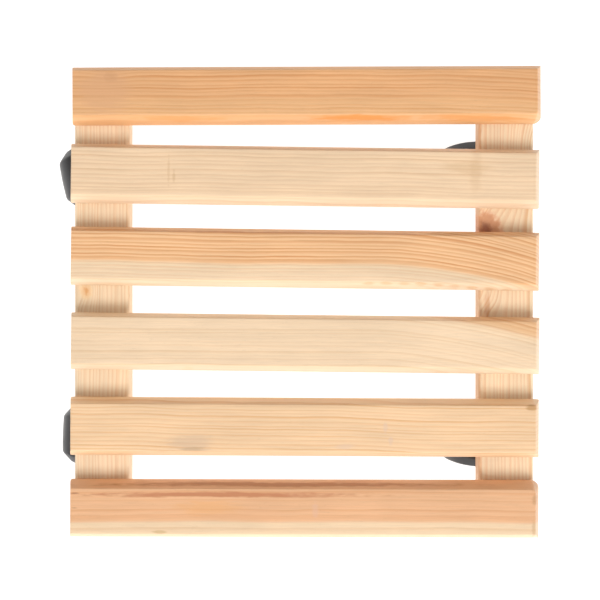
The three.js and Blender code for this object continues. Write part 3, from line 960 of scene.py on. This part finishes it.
def kingpin_mesh():
    radius, top, groove = KINGPIN_RADIUS, CASTOR_HEIGHT, KINGPIN_GROOVE
    profile = [(0, KINGPIN_FOOT), (radius - 1.2, KINGPIN_FOOT), (radius - 0.3, KINGPIN_FOOT + 0.6)]
    profile += [(radius, KINGPIN_FOOT + 1.4), (radius, groove), (radius - 0.5, groove + 0.4)]
    profile += [(radius - 0.5, groove + 1.6), (radius, groove + 2), (radius, top - 1.2), (5.2, top - 1.2)]
    profile += [(5.5, top - 1.0), (5.5, top - 0.4), (5.1, top - 0.05), (1.6, top - 0.05)]
    return lathe("kingpin", [*profile, (1.2, top - 0.4), (0, top - 0.5)], 48)


def axle_mesh():
    radius, end = AXLE_RADIUS, AXLE_HALF_LENGTH
    half = [(0, -end), (radius - 0.7, -end), (radius - 0.2, -end + 0.2), (radius, -end + 0.7)]
    half += [(radius, -9.0), (radius - 0.2, -8.6)]
    return lathe("axle", half + [(r, -z) for r, z in reversed(half)], 40)


def wheel_mesh():
    """One wheel about Z, outer face up: rounded tread, domed cover with ring steps, ribs inside."""
    bore = AXLE_RADIUS + FIT_GAP
    crown, shoulder, radius = 21.5, 16.6, WHEEL_RADIUS

    def dome(at_radius, down=0.0):
        return at_radius, crown - (crown - shoulder) * (at_radius / radius) ** 2 - down

    profile = [(0, AXLE_HALF_LENGTH + 0.5), (bore, AXLE_HALF_LENGTH + 0.5), (bore, 6.8)]
    profile += [(bore + 0.5, 6.3), (7.4, 6.3), (8.0, 6.8), (8.6, 11.6), (9.2, 12.0)]
    profile += [(18.2, 12.0), (18.8, 11.6), (19.3, 7.4), (19.8, 6.9), (22.0, 6.9)]
    profile += arc(radius - 1.0, 7.9, 1.0, -60, 0, 3)
    profile += arc(radius - 2.2, 14.4, 2.2, 0, 75, 6)
    profile += [dome(19.6), dome(19.0), dome(18.7, 0.4), dome(18.2, 0.5), dome(17.7, 0.15)]
    profile += [dome(r) for r in (17.2, 15.0, 12.5, 10.0, 8.0, 7.2)]
    profile += [dome(6.8, 0.15), dome(6.5, 0.55), dome(6.1, 0.6), dome(5.6, 0.3)]
    profile += [dome(4.0, 0.2), dome(2.0, 0.15), (0, crown - 0.15)]
    wheel = lathe("wheel", profile, 96, 40.0)
    rib = prism("rib", [(8.2, -0.6), (19.0, -0.6), (19.0, 0.6), (8.2, 0.6)], 7.6, 12.6)
    ribs = [(rib, Matrix.Rotation(math.pi * k / 4, 4, "Z")) for k in range(8)]
    return carve(wheel, joined("ribs", ribs), "UNION")


TAIL_STEPS = 26
DECK_STEPS = 9
BEND_STEPS = 14
NOSE_STEPS = 8
HOOD_STATIONS = TAIL_STEPS + DECK_STEPS + BEND_STEPS + NOSE_STEPS


def hood_spine(inset):
    """The hood seen from the side, drawn in by an inset: tail, round the wheels, and the nose."""
    reach = HOOD_REACH - inset
    u, z = HOOD_NOSE + HOOD_NOSE_BEND, WHEEL_RADIUS + HOOD_REACH - HOOD_NOSE_BEND
    line = list(arc(CASTOR_TRAIL, WHEEL_RADIUS, reach, HOOD_TAIL_ANGLE, 90, TAIL_STEPS))
    for i in range(1, DECK_STEPS):
        line.append((CASTOR_TRAIL + (u - CASTOR_TRAIL) * i / DECK_STEPS, WHEEL_RADIUS + reach))
    line += arc(u, z, HOOD_NOSE_BEND - inset, 90, 180, BEND_STEPS)
    for i in range(1, NOSE_STEPS + 1):
        line.append((HOOD_NOSE + inset, z + (HOOD_NOSE_FOOT - z) * i / NOSE_STEPS))
    return line


def hood_rim():
    """The round edge of the wheel openings, with as many points as the spine."""
    front = HOOD_SKIRT_FRONT_ANGLE
    rim = list(arc(CASTOR_TRAIL, WHEEL_RADIUS, HOOD_SKIRT, HOOD_TAIL_ANGLE, 90, TAIL_STEPS))
    rest = HOOD_STATIONS - TAIL_STEPS
    return rim + list(arc(CASTOR_TRAIL, WHEEL_RADIUS, HOOD_SKIRT, 90, front, rest))[1:]


def hood_point(u, v, z):
    """Bulges the sides like a barrel and rounds the nose and the tail, seen from above."""
    flat = HOOD_HALF_WIDTH - HOOD_SHOULDER
    share = min(abs(v), flat) / flat
    nose = min(1.0, max(0.0, (HOOD_NOSE + HOOD_NOSE_BEND - u) / HOOD_NOSE_BEND))
    tail = min(1.0, max(0.0, (u - 38.0) / 5.0))
    u += (2.6 * nose - 0.4 * tail) * share**2
    sag = HOOD_SIDE_RADIUS - math.sqrt(HOOD_SIDE_RADIUS**2 - (u - CASTOR_TRAIL) ** 2)
    return u, v * (1 - sag / HOOD_HALF_WIDTH), z


def blend(before, corner, after, reach, steps):
    """Points on a soft curve that cuts a corner, starting and ending a reach away from it."""
    before, corner, after = Vector(before), Vector(corner), Vector(after)
    start = corner + (before - corner).normalized() * reach
    end = corner + (after - corner).normalized() * reach
    for i in range(steps + 1):
        t = i / steps
        point = start * (1 - t) ** 2 + corner * (2 * t * (1 - t)) + end * t**2
        yield point.x, point.y


def hood_shell():
    """The moulded shell: a band over both wheels with chamfered shoulders and round skirts."""
    half, shoulder = HOOD_HALF_WIDTH, HOOD_SHOULDER
    flat = half - shoulder
    rim = hood_rim()

    def layer(depth):
        """A cross section from side to side: (v, inset, share of the way to the rim)."""
        edge = half - depth
        leg = HOOD_CHAMFER + depth * (math.sqrt(2) - 1)
        line = [(edge, shoulder + 1), (edge, leg), (half - leg, depth), (flat - 2.5, depth)]
        side = [(edge, shoulder, 1.0), (edge, shoulder, 0.5)]
        for before, corner, after in (line[:3], line[1:]):
            side += [(*p, 0.0) for p in blend(before, corner, after, 1.6, 5)]
        middle = [((flat - 2.5) * k / 4, depth, 0.0) for k in range(4, -5, -1)]
        return side + middle + [(-v, inset, share) for v, inset, share in reversed(side)]

    section = layer(0.0) + layer(HOOD_WALL)[::-1]
    spines = {inset: hood_spine(inset) for _, inset, _ in section}
    rings = []
    for i in range(HOOD_STATIONS):
        ring = []
        for v, inset, share in section:
            u, z = spines[inset][i]
            u += (rim[i][0] - u) * share
            z += (rim[i][1] - z) * share
            ring.append(hood_point(u, v, z))
        rings.append(ring)
    count = len(section)
    caps = [(k, k + 1, count - 2 - k, count - 1 - k) for k in range(count // 2 - 1)]
    return eased(loft("hood", rings, 35.0, caps), 0.35, 50)


def upright(name, outline, low, high):
    """An outline in U and Z between two places across the castor."""
    return loft(name, [[(u, v, z) for u, z in outline] for v in (low, high)])


def hood_mesh():
    """The shell with the web that holds kingpin and axle, and two stiffening ribs in the nose."""
    reach = HOOD_REACH - HOOD_WALL / 2
    nose = HOOD_NOSE + 1
    slope = HOOD_NOSE_BEND - HOOD_WALL
    top = WHEEL_RADIUS + reach
    web = list(arc(CASTOR_TRAIL, WHEEL_RADIUS, reach, HOOD_TAIL_ANGLE + 10, 90, 16))
    web += [(nose + slope, top), (nose, top - slope), (nose, HOOD_NOSE_FOOT + 6)]
    web += arc(CASTOR_TRAIL, WHEEL_RADIUS, 8.0, 234, 342, 12)
    solid = carve(hood_shell(), upright("web", web, -WEB_HALF_WIDTH, WEB_HALF_WIDTH), "UNION")
    rib = list(arc(-3.2, 37.2, 10.0, 90, 180, 8)) + [(-13.2, 19.5), (-7.0, 19.5), (-7.0, 39.0)]
    ribs = [(upright("rib", rib, v - 0.6, v + 0.6), Matrix.Identity(4)) for v in (-11.0, 11.0)]
    solid = carve(solid, joined("ribs", ribs), "UNION")
    radius = KINGPIN_RADIUS + FIT_GAP
    low, high = KINGPIN_FOOT - 1, CASTOR_HEIGHT
    kingpin_bore = lathe("bore", [(0, low), (radius, low), (radius, high), (0, high)], 40)
    radius = AXLE_RADIUS + FIT_GAP
    axle_bore = lathe("bore", [(0, -30), (radius, -30), (radius, 30), (0, 30)], 40)
    lay = at(CASTOR_TRAIL, 0, WHEEL_RADIUS) @ Matrix.Rotation(math.pi / 2, 4, "X")
    bores = [(kingpin_bore, Matrix.Identity(4)), (axle_bore, lay)]
    solid = carve(solid, joined("bores", bores))
    shade(solid, 40.0)
    return solid


# ---- plastic and metal


def plastic(name, colour, worn, rough, grain):
    """Moulded plastic: fine spark-eroded texture, faint flow marks, scuffs and dust."""
    sh = Shader(name)
    x, y, z = sh.x, sh.y, sh.z
    flow = sh.noise(x * 0.06, y * 0.06, z * 0.1, 2.0)
    fine = sh.noise(x * 5.0, y * 5.0, z * 5.0, 2.0)
    scuff = sh.noise(x * 0.25, y * 0.25, z * 1.4, 4.0, 0.7)
    dust = sh.noise(x * 0.9, y * 0.9, z * 0.9, 4.0, 0.7)
    paint = sh.mix(tone(*colour), tone(*worn), flow.smooth(0.35, 0.7, 0.0, 0.6))
    paint = sh.mix(paint, tone(*worn), scuff.smooth(0.6, 0.72, 0.0, 0.5))
    paint = sh.mix(paint, tone(150, 146, 138), dust.smooth(0.62, 0.75, 0.0, 0.22))
    worn_rough = flow.smooth(0.3, 0.7, rough - 0.05, rough + 0.07)
    sh.set(Base_Color=paint, Specular_IOR_Level=0.5)
    sh.set(Roughness=worn_rough + dust.smooth(0.6, 0.75, 0.0, 0.15))
    sh.bump(fine * 0.7 + scuff * 0.3, grain)
    return sh.material


def steel(name, colour, warm, rough):
    """Plated steel: cloudy plating, fine drawing marks and dull spots."""
    sh = Shader(name)
    x, y, z = sh.x, sh.y, sh.z
    cloud = sh.noise(x * 0.3, y * 0.3, z * 0.3, 3.0, 0.6)
    lines = sh.noise(x * 6.0, y * 0.4, z * 6.0, 2.0)
    spots = sh.noise(x * 1.3, y * 1.3, z * 1.3 + 8, 3.0, 0.6)
    paint = sh.mix(tone(*colour), tone(*warm), cloud.smooth(0.35, 0.65))
    paint = sh.mix(paint, tone(96, 92, 86), spots.smooth(0.66, 0.78, 0.0, 0.5))
    sh.set(Base_Color=paint, Metallic=1.0)
    sh.set(Roughness=cloud.smooth(0.3, 0.7, rough, rough + 0.12) + lines * 0.08)
    sh.bump(lines * 0.6 + spots * 0.4, 0.02)
    return sh.material


# ---- assembly


def place(node, suffix, mesh, matrix, slot, material):
    """Puts a piece where its CAD node is, in the node's body, and hides the node. The slot is not used."""
    mesh = mesh.copy()
    mesh.transform(matrix)
    mesh.materials.clear()
    mesh.materials.append(material)
    piece = new_object(node + "_" + suffix, mesh)
    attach(piece, frame["nodes"][node]["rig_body"])
    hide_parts(node)


def screw_places(prefix, head_height):
    """Where each screw's head meets the wood, from the CAD nodes."""
    places = {}
    for node in frame["nodes"]:
        if node.startswith(prefix):
            low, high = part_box(node)
            centre = (low + high) / 2 / MM
            places[node] = Vector((centre.x, centre.y, low.z / MM + head_height))
    return places


def castor_place(name):
    """The castor's frame: origin on the floor under the swivel, X along the trail."""
    joints = {joint["name"]: joint for joint in frame["joints"]}
    swivel = Vector(joints["swivel_" + name]["pos_m"]) / MM
    roll = Vector(joints["roll_" + name + "_a"]["pos_m"]) / MM
    return at(swivel.x, swivel.y, 0, math.atan2(roll.y - swivel.y, roll.x - swivel.x))


def drilled(mesh, found, holes):
    """A board's mesh with holes cut in it; each hole is a tool mesh and its place."""
    into = found["matrix"].inverted()
    tools = joined("tools", [(tool, into @ at(*spot)) for tool, spot in holes])
    mesh = carve(mesh, tools)
    shade(mesh, 48.0)
    return mesh


def build_boards():
    slat_screws = screw_places("slat_screw_", 0.0)
    plate_screws = screw_places("plate_screw_", PLATE_SCREW["head_height"])
    pilots, blinds = pilot(WOOD_SCREW), blind_hole(PLATE_SCREW)
    for index, timber in enumerate(SLAT_TIMBERS):
        node = "slat_" + str(index + 1)
        found = board_place(node)
        section = slat_section(found["width"], found["rear_lean"], found["front_lean"])
        mesh = board(node, found, section, index * 9.1, True, CORNER_SIDES.get(node, 0))
        own = "slat_screw_" + str(index + 1)
        holes = [(pilots, spot) for name, spot in slat_screws.items() if name.startswith(own)]
        mesh = drilled(mesh, found, holes)
        paint = pine("pine_" + node, found, **timber)
        place(node, "board", mesh, found["matrix"], "pine", paint)
    for side, timber in zip(("left", "right"), BEARER_TIMBERS):
        node = "bearer_" + side
        found = board_place(node)
        mesh = board(node, found, bearer_section(found["width"]), 77.0 + len(side))
        low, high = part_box(node)
        holes = [
            (tool, spot)
            for tool, spots in ((pilots, slat_screws), (blinds, plate_screws))
            for spot in spots.values()
            if low.x < spot.x * MM < high.x
        ]
        mesh = drilled(mesh, found, holes)
        # no painted sheen or painted end light on the bearers
        paint = pine("pine_" + node, found, side_pale=0.0, end_pale=0.0, **timber)
        place(node, "board", mesh, found["matrix"], "pine_bearer", paint)
    build_screws(slat_screws, plate_screws)


def build_screws(slat_screws, plate_screws):
    """Each screw stopped at an angle of its own when it was driven in."""
    gold = steel("screw_yellow_zinc", (214, 190, 128), (196, 160, 92), 0.26)
    zinc = steel("screw_bright_zinc", (196, 198, 202), (176, 180, 188), 0.24)
    wood_screw = screw_mesh("wood_screw", WOOD_SCREW, False)
    plate_screw = screw_mesh("plate_screw", PLATE_SCREW, True)
    for spots, mesh, paint in ((slat_screws, wood_screw, gold), (plate_screws, plate_screw, zinc)):
        for index, (node, spot) in enumerate(sorted(spots.items())):
            place(node, "threaded", mesh, at(*spot, index * SCREW_TURN), "screw", paint)


def build_castors():
    plate_zinc = steel("plate_zinc", (178, 180, 184), (160, 162, 170), 0.32)
    pin_zinc = steel("pin_zinc", (190, 191, 194), (170, 172, 176), 0.22)
    hood_grey = plastic("hood_slate", (35, 35, 38), (46, 46, 50), 0.38, 0.02)
    wheel_black = plastic("wheel_black", (44, 44, 47), (58, 58, 60), 0.48, 0.025)
    plate, kingpin, axle = plate_mesh(), kingpin_mesh(), axle_mesh()
    hood, wheel = hood_mesh(), wheel_mesh()
    for name in CASTORS:
        here = castor_place(name)
        spot = here.translation / MM
        under = at(spot.x, spot.y, PLATE_BOTTOM)
        place("castor_plate_" + name, "pressing", plate, under, "plate_steel", plate_zinc)
        place("kingpin_" + name, "turned", kingpin, at(spot.x, spot.y), "pin_steel", pin_zinc)
        place("castor_hood_" + name, "moulding", hood, here, "hood_plastic", hood_grey)
        hub = here @ at(CASTOR_TRAIL, 0, WHEEL_RADIUS)
        lying = hub @ Matrix.Rotation(math.pi / 2, 4, "X")
        place("axle_" + name, "turned", axle, lying, "pin_steel", pin_zinc)
        for letter, side in (("a", 1), ("b", -1)):
            facing = hub @ Matrix.Rotation(-side * math.pi / 2, 4, "X")
            place("wheel_" + name + "_" + letter, "moulding", wheel, facing, "wheel_plastic", wheel_black)


# ---- stage, light and camera

FLOOR_SIDE = 80000.0  # so wide that its edge isn't seen under the sky
SKY_WHITE = 1.08
SKY_DIM = 0.41
KEY_LEAN = 30.0  # of the main light towards -Y, in degrees
LENS = 60.36
VIEW_FROM = (-3.1, 1.3, 750.0)  # the camera, from the middle of the bearers and the deck's top


def build_sky():
    """A dim warm dome that is white at the horizon, where it meets the floor."""
    world = bpy.data.worlds.new("studio")
    world.use_nodes = True
    tree = world.node_tree
    background = tree.nodes["Background"]
    background.inputs["Color"].default_value = (1.0, 0.97, 0.93, 1.0)
    direction = tree.nodes.new("ShaderNodeTexCoord")
    split = tree.nodes.new("ShaderNodeSeparateXYZ")
    tree.links.new(direction.outputs["Generated"], split.inputs[0])
    strength = Field(tree, split.outputs["Z"]).smooth(0.09, 0.18, SKY_WHITE, SKY_DIM)
    feed(tree, background.inputs["Strength"], strength)
    return world


def build_stage():
    outline = rounded_rectangle(FLOOR_SIDE, FLOOR_SIDE, FLOOR_SIDE / 10, 12)
    floor = new_object("floor", prism("floor", outline, -20, 0))
    sh = Shader("floor_white")
    sh.set(Base_Color=(0.5, 0.5, 0.5, 1.0), Roughness=0.9, Specular_IOR_Level=0.0)
    sh.set(Emission_Color=(1.0, 1.0, 1.0, 1.0), Emission_Strength=0.85)
    floor.data.materials.append(sh.material)
    bpy.context.scene.world = build_sky()


def soft_light(name, toward, distance, size, power, colour):
    """A rectangular soft box that looks at the middle of the deck."""
    data = bpy.data.lights.new(name, "AREA")
    data.shape = "RECTANGLE"
    data.size, data.size_y = size
    data.energy = power
    data.color = colour
    light = new_object(name, data)
    target = Vector((0, 0, 0.08))
    direction = Vector(toward).normalized()
    light.location = target + direction * distance
    light.rotation_mode = "QUATERNION"
    light.rotation_quaternion = direction.to_track_quat("Z", "Y")


def build_light():
    lean = math.radians(KEY_LEAN)
    key = (0.05, -math.sin(lean), math.cos(lean))
    soft_light("key", key, 5.0, (4.0, 1.7), 158.0, (1.0, 0.985, 0.96))
    soft_light("fill_front", (0.0, -1.0, 0.35), 3.0, (3.0, 1.0), 25.0, (1.0, 0.985, 0.965))
    soft_light("fill_right", (1.0, 0.0, 0.35), 2.0, (1.4, 0.8), 4.0, (1.0, 0.99, 0.98))
    soft_light("fill_left", (-1.0, 0.0, 0.5), 2.0, (1.4, 0.8), 0.6, (0.96, 0.98, 1.0))


def build_camera():
    """Straight down over the deck, a little left of its middle, as the reference is framed."""
    data = bpy.data.cameras.new("camera")
    data.sensor_width = 36.0
    data.lens = LENS
    data.clip_start, data.clip_end = 0.01, 50.0
    camera = new_object("camera", data)
    left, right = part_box("bearer_left"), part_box("bearer_right")
    middle = (left[0] + right[1]) / 2
    camera.location = Vector((middle.x, middle.y, cad_box[1][2])) + Vector(VIEW_FROM) * MM
    bpy.context.scene.camera = camera


build_camera()
build_boards()
build_castors()
build_stage()
build_light()
bpy.context.scene.view_settings.view_transform = "Standard"
